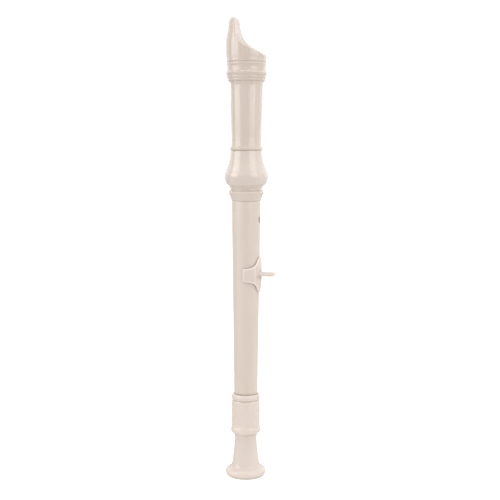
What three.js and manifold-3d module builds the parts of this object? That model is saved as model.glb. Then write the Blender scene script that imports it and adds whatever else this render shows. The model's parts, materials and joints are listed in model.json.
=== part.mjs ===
// Soprano recorder in C, three joints, moulded ABS. Millimetres, +Z up.
// It stands on its bell. The finger holes and the window face -Y, the thumb
// hole and the thumb rest face +Y, and the bore axis is parallel to Z.
// Pieces are built with the bore axis on Z, then moved back or forth together.
import * as THREE from "three";
import { mergeVertices } from "three/addons/utils/BufferGeometryUtils.js";
import Module from "manifold-3d";

const wasm = await Module();
wasm.setup();
const { clamp, degToRad, lerp } = THREE.MathUtils;

// ------------------------------------------------------------ dimensions
const FACETS = 36; // round a turned piece
const GAP = 0.3; // clearance between neighbouring pieces
const SOCKET_SLACK = 0.25; // a socket's radius over its tenon's
const END_GAP = 0.4; // left beyond the end of a tenon or spigot
const LENGTH = 329.8; // bell end to beak tip
const CLEAR_TOP = 340; // cutters run up to here, past the tip

// Foot joint, going up
const BELL_TOP = 31.0;
const BELL_SPIGOT_R = 7.6;
const BELL_SPIGOT_TOP = 35.6;
const FOOT_BORE_R = 4.95;
const SLEEVE_BOTTOM = BELL_TOP + GAP;
const SLEEVE_TOP = 56.4;
const NECK_R = 8.7; // the sleeve's neck, inside the foot ring
const NECK_TOP = 60.2;

// Middle joint: its body shows between the two tenons
const LOW_TENON_R = 6.75;
const LOW_TENON_BOTTOM = 46.6;
const MIDDLE_BOTTOM = 61.4;
const MIDDLE_TOP = 200.7;
const TOP_TENON_R = 7.85;
const TOP_TENON_TOP = 225.3;
const TENON_CHAMFER = { inward: 0.5, along: 0.6 };
const BORE_LOW_R = 4.9;
const BORE_TOP_R = 6.5;

const FOOT_RING_BOTTOM = SLEEVE_TOP + GAP;
const FOOT_RING_TOP = MIDDLE_BOTTOM - GAP;

// Head joint, going up
const END_RING_BOTTOM = MIDDLE_TOP + GAP;
const CORE_BOTTOM = 203.8;
const CORE_R = 9.4; // head tube's core, under the bulb
const END_RING_TOP = 208.3;
const BULB_BOTTOM = END_RING_TOP + GAP;
const BULB_R = 15.35; // widest part of the bulb
const SOCKET_R = TOP_TENON_R + SOCKET_SLACK;
const SOCKET_TOP = TOP_TENON_TOP + END_GAP;
const BULB_TOP = 236.5;
const TUBE_BOTTOM = BULB_TOP + GAP;
const TUBE_TOP = 284.9;
const HEAD_BORE_R = 7.0;
const SPIGOT_R = 10.6; // head tube's spigot, under the collar and the beak
const SPIGOT_TOP = 303.0;
const COLLAR_BOTTOM = TUBE_TOP + GAP;
const COLLAR_TOP = 298.5;
const BEAK_BOTTOM = COLLAR_TOP + GAP;

// Window, labium and windway; each Y is from the axis
const WINDOW_TOP = 285.0;
const CUT_UP = 4.1; // windway end to labium edge
const LABIUM_EDGE = WINDOW_TOP - CUT_UP;
const LABIUM_OVERLAP = 0.2; // the cuts either side of the labium run past its edge
const WINDOW_HALF = 5.1; // half the width of the window
const EDGE_Y = -7.35; // the labium's edge
const RAMP_SLOPE = 0.315; // the ramp's rise for each millimetre along the axis
const RAMP_CUT_BOTTOM = 260; // low enough for the ramp to leave the tube
const WINDWAY_LENGTH = 45;
const FLOOR_AT_WINDOW = -6.95;
const FLOOR_AT_TIP = -8.95;
const ROOF_AT_WINDOW = -8.05;
const ROOF_AT_TIP = -10.3;
const SLOT_BOTTOM = WINDOW_TOP - 0.6;
const SLOT_TOP = WINDOW_TOP + 46;
const BLOCK_BOTTOM = WINDOW_TOP + 0.1;
const BLOCK_TOP = LENGTH - 0.1;

// Holes: [height, diameter, degrees from the front, + towards +X]
const MIDDLE_HOLES = [
  [187.5, 5.3, 180], // thumb hole
  [183.0, 5.6, 0],
  [164.5, 6.0, 0],
  [144.5, 5.5, 0],
  [119.5, 5.8, 0],
  [98.5, 4.6, 0],
  [73.5, 3.5, -16.5], // sixth hole, a pair
  [73.5, 2.9, 14.5],
];
// Seventh hole, a pair turned towards the little finger
const FOOT_HOLES = [
  [42.6, 3.2, -38],
  [42.6, 2.5, -10.5],
];
const DRILL_REACH = 16;
const DRILL_SIDES = 20;

// Thumb rest: a leaf with two arms round the middle joint, and a shelf
const REST_Z = 148.2; // mid-height of the leaf and its arms
const REST_STEPS = 6; // up each face of the clip
const ARM_THINNING = { depth: 0.3, from: 28, over: 50 }; // mm, then degrees from the back
const SHELF = { bottom: 147.3, top: 149.4, root: 10.2, tip: 21.2, half: 5.0, corner: 3.0 };
const SHELF_CURVE_SEGMENTS = 6;

// Puts the footprint, from bulb to shelf tip, centred on the origin
const AXIS_Y = (BULB_R - SHELF.tip) / 2;

// ------------------------------------------------------------ outlines
// Outer profiles of the turned pieces, [radius, height], going up
const BELL = [
  [12.2, 0], [12.9, 0.26], [13.6, 0.9], [14.14, 1.9], [14.4, 2.9], [14.44, 3.7], [14.28, 4.5],
  [13.87, 5.2], [13.1, 5.9], [12.1, 6.5], [11.14, 7.12], [10.43, 7.96], [9.96, 9.15],
  [9.62, 11.1], [9.3, 13.3], [8.92, 16], [8.57, 19.2], [8.2, 22.8], [7.93, 25.6], [7.84, 27.5],
  [7.93, 28.9], [8.15, 30.1], [8.4, BELL_TOP],
];
const SLEEVE = [
  [8.7, SLEEVE_BOTTOM], [8.95, 31.75], [9.4, 32.0], [9.95, 32.5], [10.4, 33.15], [10.66, 33.9],
  [10.75, 34.6], [10.7, 35.3], [10.52, 36.1], [10.3, 36.8], [10.16, 37.6], [10.1, 38.8],
  [10.1, 55.3], [9.86, 55.9], [9.55, SLEEVE_TOP],
];
const FOOT_RING = [
  [9.6, FOOT_RING_BOTTOM], [9.95, 57.1], [10.1, 57.8], [10.12, 58.8], [10.0, 59.7],
  [9.72, 60.4], [9.3, 60.9], [8.9, FOOT_RING_TOP],
];
const MIDDLE = [
  [8.2, MIDDLE_BOTTOM], [8.42, 61.8], [8.45, 66], [8.53, 74], [8.77, 87], [8.87, 97], [9.0, 112],
  [9.34, 133], [9.79, 162], [9.99, 176], [10.18, 186], [10.23, 194], [10.2, 200.3],
  [9.9, MIDDLE_TOP],
];
const END_RING = [
  [9.9, END_RING_BOTTOM], [10.45, 201.4], [10.74, 202.5], [11.06, 203.5], [11.5, 204.5],
  [12.0, 205.45], [12.36, 206.25], [12.52, 206.85], [12.44, 207.25], [12.14, 207.65],
  [11.76, 208.0], [11.38, END_RING_TOP],
];
const BULB = [
  [11.3, BULB_BOTTOM], [11.3, 209.6], [11.36, 210.5], [11.62, 211.15], [12.2, 211.8],
  [13.1, 212.45], [13.85, 213.2], [14.4, 214.3], [14.9, 215.7], [15.22, 217.0], [BULB_R, 218.3],
  [15.27, 219.5], [14.95, 220.7], [14.42, 221.8], [13.85, 223.3], [13.15, 225.1],
  [12.45, 227.0], [11.85, 229.2], [11.45, 231.5], [11.2, 233.6], [11.0, 235.4],
  [10.8, BULB_TOP],
];
const HEAD_TUBE = [
  [10.8, TUBE_BOTTOM], [11.12, 237.05], [11.4, 237.45], [11.5, 237.92], [11.44, 238.32],
  [11.23, 238.75], [10.96, 239.25], [10.71, 239.85], [10.5, 240.6], [10.37, 241.7],
  [10.31, 243], [10.33, 246], [10.5, 250], [10.74, 256], [10.97, 263], [11.15, 270],
  [11.28, 276], [11.38, 280.5], [11.5, 282.6], [11.72, 283.9], [11.95, TUBE_TOP],
];
// Two fine reeds on the collar's lower cone, a wide bead, and a waist up to the beak
const COLLAR = [
  [12.2, COLLAR_BOTTOM], [12.7, 285.45], [12.96, 285.85], [13.1, 286.35], [12.99, 286.88],
  [13.36, 287.55], [13.58, 288.3], [13.51, 288.98], [13.9, 289.7], [14.22, 290.8],
  [14.29, 291.2], [14.06, 291.56], [13.8, 291.85], [13.57, 292.5], [13.42, 293.4],
  [13.35, 294.5], [13.42, 295.5], [13.6, 296.4], [13.78, 297.05], [13.81, 297.4],
  [13.7, 297.8], [13.48, 298.2], [13.25, COLLAR_TOP],
];
const BEAK = [
  [13.4, BEAK_BOTTOM], [13.74, 299.15], [13.82, 299.6], [13.86, 300.4], [13.97, 301.5],
  [14.15, 303], [14.3, 304.7], [14.4, 307], [14.44, 309.5], [14.4, 312.5], [14.17, 315],
  [13.75, 317.6], [13.3, 320], [12.95, 322.4], [12.72, 324.2], [12.6, 325.6], [12.46, 326.8],
  [12.25, 327.9], [11.8, 328.8], [11.1, 329.5], [10.2, LENGTH],
];
// The bell's flared bore, [radius, height], going down
const BELL_BORE = [
  [FOOT_BORE_R, BELL_SPIGOT_TOP], [4.85, 28], [4.95, 18], [5.4, 9], [6.1, 3], [6.7, 0.7],
  [7.3, 0],
];
// The concave cut behind the beak, [y, z]
const BEAK_CUT = [
  [21.0, 299.3], [17.2, 301.2], [14.6, 302.75], [13.0, 303.7], [11.2, 304.65], [7.3, 306.75],
  [3.2, 308.95], [0.1, 310.95], [-2.35, 313.0], [-4.25, 315.3], [-5.4, 318.0], [-6.05, 320.9],
  [-6.42, 323.6], [-6.68, 326.0], [-6.95, 327.9], [-7.4, 329.6], [-8.1, 331.5], [-9.9, 334.0],
  [-9.9, CLEAR_TOP], [30, CLEAR_TOP], [30, 299.3],
];
// Half the height of the leaf and its arms, [degrees from the back, half height]
const REST_HALF = [
  [0, 12.95], [13, 12.55], [19, 11.95], [23, 11.35], [26, 10.5], [30, 9.0], [34, 8.0],
  [38, 7.3], [43, 6.7], [50, 6.0], [58, 5.45], [68, 5.05], [78, 4.85], [86, 4.72],
  [89.5, 4.45], [91.4, 3.9], [92, 3.1],
];
// The clip's outer face, [radius, height]
const REST_OUTER = [
  [9.95, 135.1], [10.3, 135.7], [10.5, 137.2], [10.72, 139.4], [11.02, 141.8], [11.25, 144.6],
  [11.35, 148.2], [11.4, 151.6], [11.28, 154.6], [11.08, 157.4], [10.9, 159.6], [10.7, 160.7],
  [10.4, 161.3],
];

// ------------------------------------------------------------ helpers
// A solid from a closed geometry, its faces turned outwards if need be.
const solidOf = (geometry) => {
  geometry.deleteAttribute("normal");
  geometry.deleteAttribute("uv");
  const merged = mergeVertices(geometry, 1e-4);
  const corners = new Uint32Array(merged.index.array);
  const build = () =>
    new wasm.Manifold(
      new wasm.Mesh({
        numProp: 3,
        vertProperties: merged.attributes.position.array,
        triVerts: corners,
      }),
    );
  const solid = build();
  if (solid.volume() > 0) return solid;
  for (let i = 0; i < corners.length; i += 3) {
    [corners[i + 1], corners[i + 2]] = [corners[i + 2], corners[i + 1]];
  }
  return build();
};

const flatGeometryOf = (solid) => {
  const mesh = solid.getMesh();
  const indexed = new THREE.BufferGeometry();
  indexed.setAttribute("position", new THREE.BufferAttribute(mesh.vertProperties, 3));
  indexed.setIndex(new THREE.BufferAttribute(mesh.triVerts, 1));
  const flat = indexed.toNonIndexed();
  flat.computeVertexNormals();
  return flat;
};

// A piece turned about Z from an outline of [radius, height]: up outside, down inside.
const turned = (outline) => {
  const loop = [...outline, outline[0]].map(([radius, z]) => new THREE.Vector2(radius, z));
  return solidOf(new THREE.LatheGeometry(loop, FACETS).rotateX(Math.PI / 2));
};

const rod = (radius, bottom, top) =>
  turned([[radius, bottom], [radius, top], [0, top], [0, bottom]]);

// A prism along X from a polygon of [y, z], reaching half its width either side.
const prismX = (points, half) => {
  const shape = new THREE.Shape(points.map(([y, z]) => new THREE.Vector2(y, z)));
  const geometry = new THREE.ExtrudeGeometry(shape, { depth: 2 * half, bevelEnabled: false });
  geometry.translate(0, 0, -half);
  // shape x -> Y, shape y -> Z, depth -> X
  geometry.applyMatrix4(new THREE.Matrix4().set(0, 0, 1, 0, 1, 0, 0, 0, 0, 1, 0, 0, 0, 0, 0, 1));
  return solidOf(geometry);
};

// Each hole is drilled from the axis outwards.
const drillHoles = (solid, holes) =>
  holes.reduce((drilled, [height, diameter, angle]) => {
    const radius = diameter / 2;
    const drill = new THREE.CylinderGeometry(radius, radius, DRILL_REACH, DRILL_SIDES);
    drill.translate(0, -DRILL_REACH / 2, 0);
    drill.rotateZ(degToRad(angle));
    drill.translate(0, 0, height);
    return drilled.subtract(solidOf(drill));
  }, solid);

const radiusAt = (profile, height) => {
  const i = profile.findIndex(([, z], k) => k > 0 && height <= z);
  const [r0, z0] = profile[i - 1];
  const [r1, z1] = profile[i];
  return lerp(r0, r1, (height - z0) / (z1 - z0));
};

// ------------------------------------------------------------ foot joint
const footBell = () =>
  turned([...BELL, [BELL_SPIGOT_R, BELL_TOP], [BELL_SPIGOT_R, BELL_SPIGOT_TOP], ...BELL_BORE]);

const footSleeve = () => {
  const tenonSocketR = LOW_TENON_R + SOCKET_SLACK;
  const shoulder = LOW_TENON_BOTTOM - END_GAP;
  const bellSocketR = BELL_SPIGOT_R + GAP;
  const bellSocketTop = BELL_SPIGOT_TOP + END_GAP;
  const sleeve = turned([
    ...SLEEVE, [NECK_R, SLEEVE_TOP], [NECK_R, NECK_TOP],
    [tenonSocketR, NECK_TOP], [tenonSocketR, shoulder],
    [FOOT_BORE_R, shoulder], [FOOT_BORE_R, bellSocketTop],
    [bellSocketR, bellSocketTop], [bellSocketR, SLEEVE_BOTTOM],
  ]);
  return drillHoles(sleeve, FOOT_HOLES);
};

const footRing = () => {
  const lipR = 7.1;
  return turned([
    ...FOOT_RING, [lipR, FOOT_RING_TOP], [lipR, NECK_TOP + GAP],
    [NECK_R + GAP, NECK_TOP + GAP], [NECK_R + GAP, FOOT_RING_BOTTOM],
  ]);
};

// ------------------------------------------------------------ middle joint
const groove = (radius, bottom, { width, depth }) => {
  const top = bottom + width;
  const floorR = radius - depth;
  return [[radius, bottom], [floorR, bottom + 0.15], [floorR, top - 0.15], [radius, top]];
};

const middleJoint = () => {
  const lowGroove = { width: 1.4, depth: 0.4 };
  const topGroove = { width: 1.6, depth: 0.45 };
  const { inward, along } = TENON_CHAMFER;
  const joint = turned([
    [LOW_TENON_R - inward, LOW_TENON_BOTTOM], [LOW_TENON_R, LOW_TENON_BOTTOM + along],
    ...groove(LOW_TENON_R, 50.0, lowGroove), ...groove(LOW_TENON_R, 56.2, lowGroove),
    [LOW_TENON_R, MIDDLE_BOTTOM], ...MIDDLE, [TOP_TENON_R, MIDDLE_TOP],
    ...groove(TOP_TENON_R, 207.0, topGroove), ...groove(TOP_TENON_R, 217.6, topGroove),
    [TOP_TENON_R, TOP_TENON_TOP - along], [TOP_TENON_R - inward, TOP_TENON_TOP],
    [BORE_TOP_R, TOP_TENON_TOP], [BORE_LOW_R, LOW_TENON_BOTTOM],
  ]);
  return drillHoles(joint, MIDDLE_HOLES);
};

// ------------------------------------------------------------ head joint
const socketEndRing = () => {
  const coreR = CORE_R + GAP;
  const ledge = CORE_BOTTOM - GAP;
  return turned([
    ...END_RING, [coreR, END_RING_TOP], [coreR, ledge],
    [8.2, ledge], [8.2, 201.3], [8.5, END_RING_BOTTOM],
  ]);
};

const socketBulb = () =>
  turned([...BULB, [CORE_R + GAP, BULB_TOP], [CORE_R + GAP, BULB_BOTTOM]]);

const windwaySlot = () => {
  const roofAt = (z) => lerp(ROOF_AT_WINDOW, ROOF_AT_TIP, (z - WINDOW_TOP) / WINDWAY_LENGTH);
  return prismX(
    [[0, SLOT_BOTTOM], [roofAt(SLOT_BOTTOM), SLOT_BOTTOM], [roofAt(SLOT_TOP), SLOT_TOP],
      [0, SLOT_TOP]],
    WINDOW_HALF,
  );
};

const windowCut = () =>
  prismX([[-20, LABIUM_EDGE], [0, LABIUM_EDGE], [0, WINDOW_TOP], [-20, WINDOW_TOP]], WINDOW_HALF);

const rampCut = () => {
  const top = LABIUM_EDGE + LABIUM_OVERLAP;
  const lowY = EDGE_Y - (LABIUM_EDGE - RAMP_CUT_BOTTOM) * RAMP_SLOPE;
  return prismX(
    [[EDGE_Y, top], [lowY, RAMP_CUT_BOTTOM], [-22, RAMP_CUT_BOTTOM], [-22, top]],
    WINDOW_HALF,
  );
};

// The flat on the bore side of the labium
const underLabiumCut = () => {
  const top = LABIUM_EDGE + LABIUM_OVERLAP;
  return prismX([[0, 265], [-6.4, 265], [-7.0, 270], [-7.0, top], [0, top]], WINDOW_HALF);
};

const headTube = () =>
  turned([
    [CORE_R, CORE_BOTTOM], [CORE_R, TUBE_BOTTOM], ...HEAD_TUBE,
    [SPIGOT_R, TUBE_TOP], [SPIGOT_R, SPIGOT_TOP],
    [HEAD_BORE_R, SPIGOT_TOP], [HEAD_BORE_R, SOCKET_TOP + 0.6],
    [SOCKET_R, SOCKET_TOP], [SOCKET_R, CORE_BOTTOM],
  ])
    .subtract(windwaySlot())
    .subtract(windowCut())
    .subtract(rampCut())
    .subtract(underLabiumCut());

const headCollar = () =>
  turned([...COLLAR, [SPIGOT_R + GAP, COLLAR_TOP], [SPIGOT_R + GAP, COLLAR_BOTTOM]]);

const beakCut = () => prismX(BEAK_CUT, 25);

// The beak narrows towards its tip as seen from the front.
const narrowed = (solid) => {
  const start = 303;
  const share = 0.16; // of the width, lost at the tip
  return solid.warp((v) => {
    if (v[2] > start) v[0] *= 1 - share * Math.pow((v[2] - start) / (LENGTH - start), 1.5);
  });
};

const beakShell = () =>
  narrowed(turned([...BEAK, [0, LENGTH], [0, BEAK_BOTTOM]]))
    .subtract(beakCut())
    .subtract(rod(SPIGOT_R + GAP, 290, SPIGOT_TOP + GAP))
    .subtract(rod(HEAD_BORE_R, 295, CLEAR_TOP))
    .subtract(windwaySlot());

// A round block in the bore, with a tongue whose front is the windway's floor
const windwayBlock = () => {
  const tongue = prismX(
    [[0, BLOCK_BOTTOM], [FLOOR_AT_WINDOW + 0.25, BLOCK_BOTTOM],
      [FLOOR_AT_WINDOW, WINDOW_TOP + 0.9], [FLOOR_AT_TIP, LENGTH - 0.8],
      [FLOOR_AT_TIP + 0.4, BLOCK_TOP], [0, BLOCK_TOP]],
    WINDOW_HALF - GAP,
  );
  return rod(HEAD_BORE_R - GAP, BLOCK_BOTTOM, BLOCK_TOP).add(tongue).subtract(beakCut());
};

// ------------------------------------------------------------ thumb rest
// One cross-section of the clip: up its outer face, then down its inner face.
const clipSection = ([angle, half]) => {
  const { depth, from, over } = ARM_THINNING;
  const thinning = depth * clamp((Math.abs(angle) - from) / over, 0, 1);
  const heights = Array.from({ length: REST_STEPS + 1 }, (_, i) =>
    lerp(REST_Z - half, REST_Z + half, i / REST_STEPS));
  const outer = heights.map((z) => [radiusAt(REST_OUTER, z) - thinning, z]);
  const inner = heights.map((z) => [radiusAt(MIDDLE, z) + GAP, z]).reverse();
  const turn = degToRad(angle);
  return [...outer, ...inner].map(([r, z]) => [r * Math.sin(turn), r * Math.cos(turn), z]);
};

const clip = () => {
  const mirrored = REST_HALF.slice(1).map(([angle, half]) => [-angle, half]).reverse();
  const sections = [...mirrored, ...REST_HALF].map(clipSection);
  const count = sections[0].length;
  const positions = [];
  const quad = (a, b, c, d) => positions.push(...a, ...b, ...c, ...a, ...c, ...d);
  for (let i = 0; i < sections.length - 1; i++) {
    const here = sections[i];
    const next = sections[i + 1];
    for (let j = 0; j < count; j++) {
      const k = (j + 1) % count;
      quad(here[j], here[k], next[k], next[j]);
    }
  }
  // the two arm ends
  const first = sections[0];
  const last = sections[sections.length - 1];
  for (let j = 0; j < REST_STEPS; j++) {
    const k = count - 1 - j;
    quad(first[j], first[k], first[k - 1], first[j + 1]);
    quad(last[j], last[j + 1], last[k - 1], last[k]);
  }
  const geometry = new THREE.BufferGeometry();
  geometry.setAttribute("position", new THREE.Float32BufferAttribute(positions, 3));
  return solidOf(geometry);
};

const shelf = () => {
  const { bottom, top, root, tip, half, corner } = SHELF;
  const plan = new THREE.Shape();
  plan.moveTo(-half, root);
  plan.lineTo(half, root);
  plan.lineTo(half, tip - corner);
  plan.absarc(half - corner, tip - corner, corner, 0, Math.PI / 2, false);
  plan.lineTo(corner - half, tip);
  plan.absarc(corner - half, tip - corner, corner, Math.PI / 2, Math.PI, false);
  plan.lineTo(-half, root);
  const geometry = new THREE.ExtrudeGeometry(plan, {
    depth: top - bottom,
    bevelEnabled: false,
    curveSegments: SHELF_CURVE_SEGMENTS,
  });
  return solidOf(geometry.translate(0, 0, bottom));
};

const thumbRest = () => clip().add(shelf());

// ------------------------------------------------------------ the assembly
const recorder = new THREE.Group();
recorder.name = "soprano_recorder";
const onAxis = new THREE.Group();
onAxis.position.set(0, AXIS_Y, 0);
recorder.add(onAxis);

// Each piece is in its own shade of cream plastic.
const place = (name, solid, { color, roughness }) => {
  const plastic = new THREE.MeshStandardMaterial({ color, roughness, metalness: 0 });
  const mesh = new THREE.Mesh(flatGeometryOf(solid), plastic);
  mesh.name = name;
  onAxis.add(mesh);
};
place("middle_joint", middleJoint(), { color: 0xded1c2, roughness: 0.3 });
place("thumb_rest", thumbRest(), { color: 0xe3d6ca, roughness: 0.28 });
place("foot_sleeve", footSleeve(), { color: 0xe2d6ca, roughness: 0.3 });
place("foot_ring", footRing(), { color: 0xe4d8cc, roughness: 0.26 });
place("foot_bell", footBell(), { color: 0xe5d9ce, roughness: 0.26 });
place("socket_end_ring", socketEndRing(), { color: 0xe3d6ca, roughness: 0.26 });
place("socket_bulb", socketBulb(), { color: 0xe2d6ca, roughness: 0.26 });
place("head_tube", headTube(), { color: 0xdfd2c4, roughness: 0.3 });
place("head_collar", headCollar(), { color: 0xe2d5c8, roughness: 0.26 });
place("beak_shell", beakShell(), { color: 0xe3d7ca, roughness: 0.26 });
place("windway_block", windwayBlock(), { color: 0xe0d3c5, roughness: 0.32 });

export default recorder;
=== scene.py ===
# An ivory plastic recorder standing upright on its bell in a white studio.
# Lengths are millimetres from the bell end up along the bore (z), radii from the bore axis.
# The front (window, finger holes) is -Y, the back (thumb rest) is +Y, the player's left is +X.
# The floor, the lights, the camera and all shader distances are in metres.
import json
import math

import bmesh
import bpy
import numpy as np
from mathutils import Matrix, Vector


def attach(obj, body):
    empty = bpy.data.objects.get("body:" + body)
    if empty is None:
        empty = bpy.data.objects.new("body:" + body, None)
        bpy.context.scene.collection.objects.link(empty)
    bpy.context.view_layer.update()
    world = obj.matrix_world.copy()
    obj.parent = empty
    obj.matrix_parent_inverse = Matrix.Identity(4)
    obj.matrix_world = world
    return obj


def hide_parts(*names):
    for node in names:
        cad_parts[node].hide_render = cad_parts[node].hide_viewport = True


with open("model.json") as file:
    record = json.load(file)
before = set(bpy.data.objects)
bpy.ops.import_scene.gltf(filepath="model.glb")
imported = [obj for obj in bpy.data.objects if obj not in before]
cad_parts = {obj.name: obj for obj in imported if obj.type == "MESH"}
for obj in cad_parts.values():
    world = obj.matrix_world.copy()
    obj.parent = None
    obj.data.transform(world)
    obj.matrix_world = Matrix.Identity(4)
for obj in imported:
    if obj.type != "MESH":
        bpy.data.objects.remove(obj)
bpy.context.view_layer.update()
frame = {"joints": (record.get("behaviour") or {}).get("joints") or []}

AXIS_Y = [j for j in frame["joints"] if j["name"] == "head_twist"][0]["pos_m"][1] * 1000.0
MM = 0.001
LATHE_SEGMENTS = 192
HOLE_SEGMENTS = 56
rad = math.radians


# ---------------------------------------------------------------- curves
def spline(points, step=0.35):
    """A centripetal Catmull-Rom curve through the points, sampled about every step."""
    points = np.array(points, float)
    padded = np.vstack([2 * points[0] - points[1], points, 2 * points[-1] - points[-2]])
    curve = [points[0]]
    for i in range(1, len(padded) - 2):
        near = padded[i - 1:i + 3]
        knots = [0.0]
        for start, end in zip(near, near[1:]):
            knots.append(knots[-1] + max(np.linalg.norm(end - start), 1e-6) ** 0.5)

        def blend(t, first, last, start, end):
            span = knots[last] - knots[first]
            return (knots[last] - t) / span * start + (t - knots[first]) / span * end

        count = max(2, int(math.ceil(np.linalg.norm(near[2] - near[1]) / step)))
        for k in range(1, count + 1):
            t = knots[1] + (knots[2] - knots[1]) * k / count
            lines = [blend(t, j, j + 1, near[j], near[j + 1]) for j in range(3)]
            arcs = [blend(t, j, j + 2, lines[j], lines[j + 1]) for j in range(2)]
            curve.append(blend(t, 1, 2, arcs[0], arcs[1]))
    return [tuple(point) for point in curve]


def even(points, step):
    """Straight stretches of a loop split so that none is longer than step."""
    split = []
    for i in range(len(points)):
        start, end = np.array(points[i]), np.array(points[(i + 1) % len(points)])
        count = max(1, int(math.ceil(np.linalg.norm(end - start) / step)))
        for j in range(count):
            split.append(tuple(start + (end - start) * j / count))
    return split


def at(profile, z):
    """The first column of a (value, height) profile, read at height z."""
    profile = np.array(profile)
    return np.interp(z, profile[:, 1], profile[:, 0])


# ---------------------------------------------------------------- meshes
def lathe(loop):
    """A turned closed piece: the loop goes up the outside and down the inside."""
    loop = np.array(loop, float)
    count = len(loop)
    angle = np.arange(LATHE_SEGMENTS) * 2 * math.pi / LATHE_SEGMENTS
    verts = np.empty((LATHE_SEGMENTS, count, 3))
    verts[:, :, 0] = np.cos(angle)[:, None] * loop[None, :, 0]
    verts[:, :, 1] = np.sin(angle)[:, None] * loop[None, :, 0]
    verts[:, :, 2] = loop[None, :, 1]
    k = np.arange(LATHE_SEGMENTS)[:, None]
    i = np.arange(count)[None, :]
    next_k, next_i = (k + 1) % LATHE_SEGMENTS, (i + 1) % count
    faces = np.stack([k * count + i, next_k * count + i,
                      next_k * count + next_i, k * count + next_i], -1)
    return verts.reshape(-1, 3), faces.reshape(-1, 4)


def loft(rings):
    """A closed mesh through rings of equal length, capped at both ends."""
    rings = np.array(rings, float)
    rows, count = rings.shape[:2]
    i = np.arange(rows - 1)[:, None]
    j = np.arange(count)[None, :]
    next_j = (j + 1) % count
    quads = np.stack([i * count + j, i * count + next_j,
                      (i + 1) * count + next_j, (i + 1) * count + j], -1)
    faces = [tuple(quad) for quad in quads.reshape(-1, 4).tolist()]
    faces.append(tuple(range(count))[::-1])
    faces.append(tuple(range((rows - 1) * count, rows * count)))
    return rings.reshape(-1, 3), faces


def mesh_of(name, verts, faces):
    """A Blender mesh object from millimetre vertices about the bore axis."""
    verts = np.array(verts, float)
    verts = np.column_stack([verts[:, 0], verts[:, 1] + AXIS_Y, verts[:, 2]]) * MM
    mesh = bpy.data.meshes.new(name)
    mesh.from_pydata(verts.tolist(), [], [tuple(int(i) for i in face) for face in faces])
    mesh.validate()
    mesh.update()
    ob = bpy.data.objects.new(name, mesh)
    bpy.context.scene.collection.objects.link(ob)
    return ob


def face_out(ob):
    """Turns every face normal outwards."""
    bm = bmesh.new()
    bm.from_mesh(ob.data)
    bmesh.ops.recalc_face_normals(bm, faces=bm.faces)
    if bm.calc_volume(signed=True) < 0:
        bmesh.ops.reverse_faces(bm, faces=bm.faces)
    bm.to_mesh(ob.data)
    bm.free()


def cut(ob, cutters):
    """Takes the cutters out of ob and removes them."""
    for cutter in cutters:
        face_out(cutter)
        boolean = ob.modifiers.new("cut", "BOOLEAN")
        boolean.operation = "DIFFERENCE"
        boolean.solver = "MANIFOLD"
        boolean.object = cutter
        depsgraph = bpy.context.evaluated_depsgraph_get()
        mesh = bpy.data.meshes.new_from_object(ob.evaluated_get(depsgraph))
        old = ob.data
        ob.modifiers.clear()
        ob.data = mesh
        mesh.name = old.name
        bpy.data.meshes.remove(old)
        bpy.data.objects.remove(cutter)


def tidy(ob):
    """Merges coincident vertices and drops faces with no area."""
    bm = bmesh.new()
    bm.from_mesh(ob.data)
    bmesh.ops.remove_doubles(bm, verts=bm.verts, dist=2e-6)
    bmesh.ops.dissolve_degenerate(bm, edges=bm.edges, dist=1e-6)
    bm.to_mesh(ob.data)
    bm.free()


# ---------------------------------------------------------------- distance fields
def loop_distance(px, py, loop):
    """Distance from points to a closed polyline, negative inside it."""
    loop = np.array(loop, float)
    shape = px.shape
    px, py = px.ravel(), py.ravel()
    nearest = np.full(px.shape, 1e9)
    inside = np.zeros(px.shape, bool)
    for (ax, ay), (bx, by) in zip(loop, np.roll(loop, -1, 0)):
        ex, ey = bx - ax, by - ay
        length2 = ex * ex + ey * ey
        if length2 < 1e-18:
            continue
        t = np.clip(((px - ax) * ex + (py - ay) * ey) / length2, 0, 1)
        nearest = np.minimum(nearest, (px - ax - t * ex) ** 2 + (py - ay - t * ey) ** 2)
        if ey != 0:
            inside ^= ((ay > py) != (by > py)) & (px < (py - ay) * ex / ey + ax)
    distance = np.sqrt(nearest)
    return np.where(inside, -distance, distance).reshape(shape)


class DistanceTable:
    """A closed loop's distance field, tabulated once and read by interpolation."""
    STEP = 0.08

    def __init__(self, loop, low, high):
        self.low = low
        axes = [low[k] + self.STEP * np.arange(int(math.ceil((high[k] - low[k]) / self.STEP)) + 2)
                for k in (0, 1)]
        self.table = loop_distance(*np.meshgrid(*axes, indexing="ij"), loop)

    def __call__(self, x, y):
        x, y = np.broadcast_arrays(x, y)
        table = self.table
        u = np.clip((x - self.low[0]) / self.STEP, 0, table.shape[0] - 1.001)
        v = np.clip((y - self.low[1]) / self.STEP, 0, table.shape[1] - 1.001)
        i, j = u.astype(int), v.astype(int)
        u, v = u - i, v - j
        return (table[i, j] * (1 - u) * (1 - v) + table[i + 1, j] * u * (1 - v)
                + table[i, j + 1] * (1 - u) * v + table[i + 1, j + 1] * u * v)


def both(first, second, radius):
    """Intersection of two fields with an edge of the given radius."""
    u, v = np.maximum(first + radius, 0), np.maximum(second + radius, 0)
    return np.minimum(-radius, np.maximum(first, second)) + np.sqrt(u * u + v * v)


def either(first, second, radius):
    """Union of two fields with a fillet of the given radius."""
    u, v = np.maximum(radius - first, 0), np.maximum(radius - second, 0)
    return np.maximum(radius, np.minimum(first, second)) - np.sqrt(u * u + v * v)


def sample_grid(field, low, counts, cell):
    """The field's values on a grid, worked out in slabs to save memory."""
    slab = 24
    xs, ys, zs = (low[axis] + cell * np.arange(counts[axis]) for axis in range(3))
    values = np.empty(counts, np.float32)
    for start in range(0, counts[2], slab):
        end = min(counts[2], start + slab)
        values[:, :, start:end] = field(*np.meshgrid(xs, ys, zs[start:end], indexing="ij"))
    return values


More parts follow.
